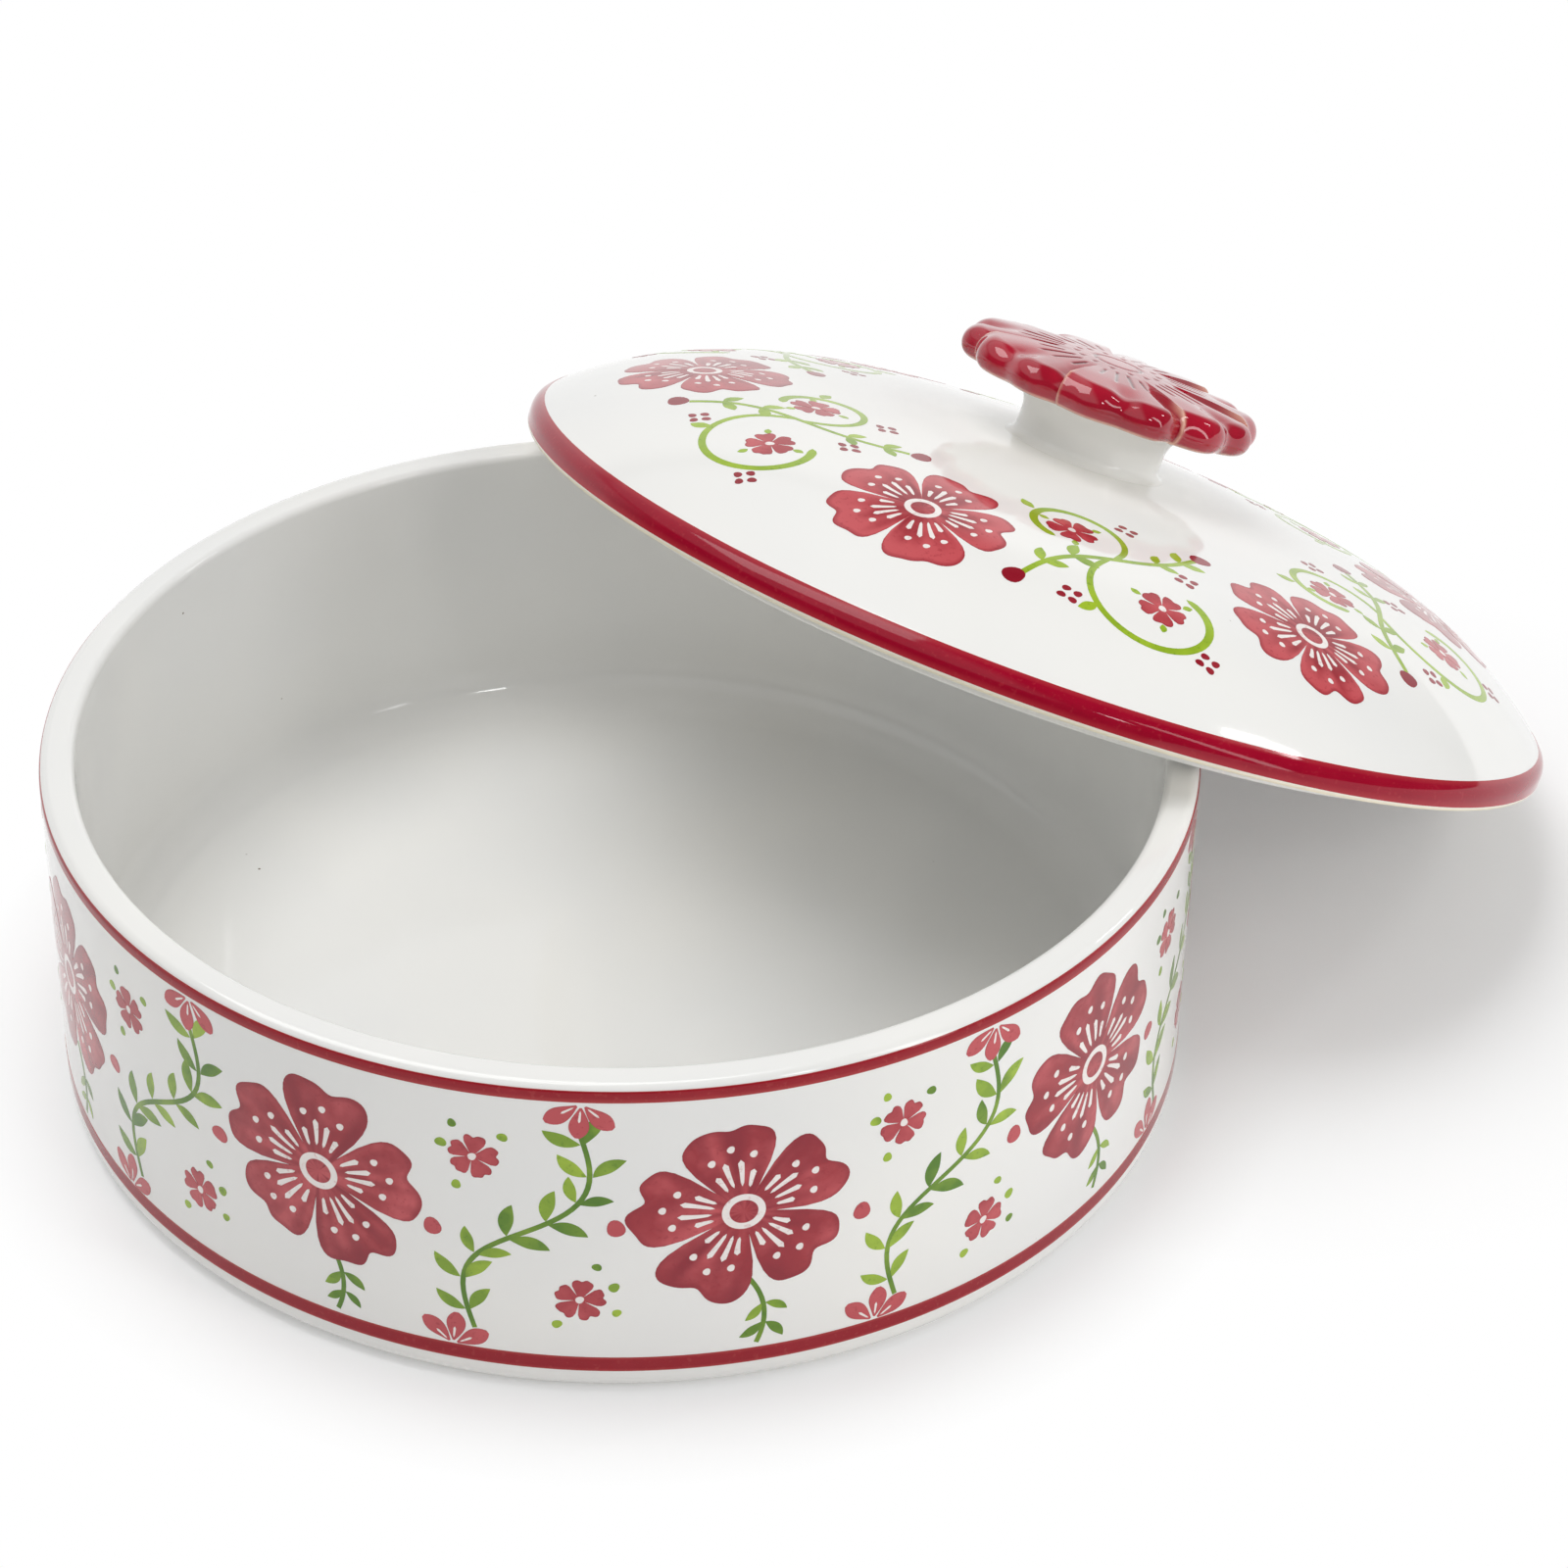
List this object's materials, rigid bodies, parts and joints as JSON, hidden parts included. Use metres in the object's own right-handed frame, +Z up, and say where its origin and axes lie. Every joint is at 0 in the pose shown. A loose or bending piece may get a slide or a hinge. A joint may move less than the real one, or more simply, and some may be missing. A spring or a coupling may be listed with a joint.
{
  "type": "tortilla warmer",
  "caption": "Round stoneware tortilla warmer with a domed, flower-knobbed lid that leans against the open dish.",
  "frame": {"origin": "centre of the dish's foot ring, on the surface that the dish stands on", "axes": "+Z up, +X from the dish towards the side where the lid leans"},
  "size_m": [0.3888, 0.264, 0.1259],
  "materials": {
    "white_glaze": "gloss",
    "red_glaze": "gloss"
  },
  "bodies": {
    "dish": {"dish": "white_glaze"},
    "lid": {"lid_dome": "white_glaze", "knob_neck": "white_glaze", "knob_flower": "red_glaze"}
  },
  "joints": [
    {"name": "lid_lift", "type": "slide", "parent": "dish", "child": "lid", "axis": [0, 0, 1], "range_m": [0, 0.12]}
  ]
}
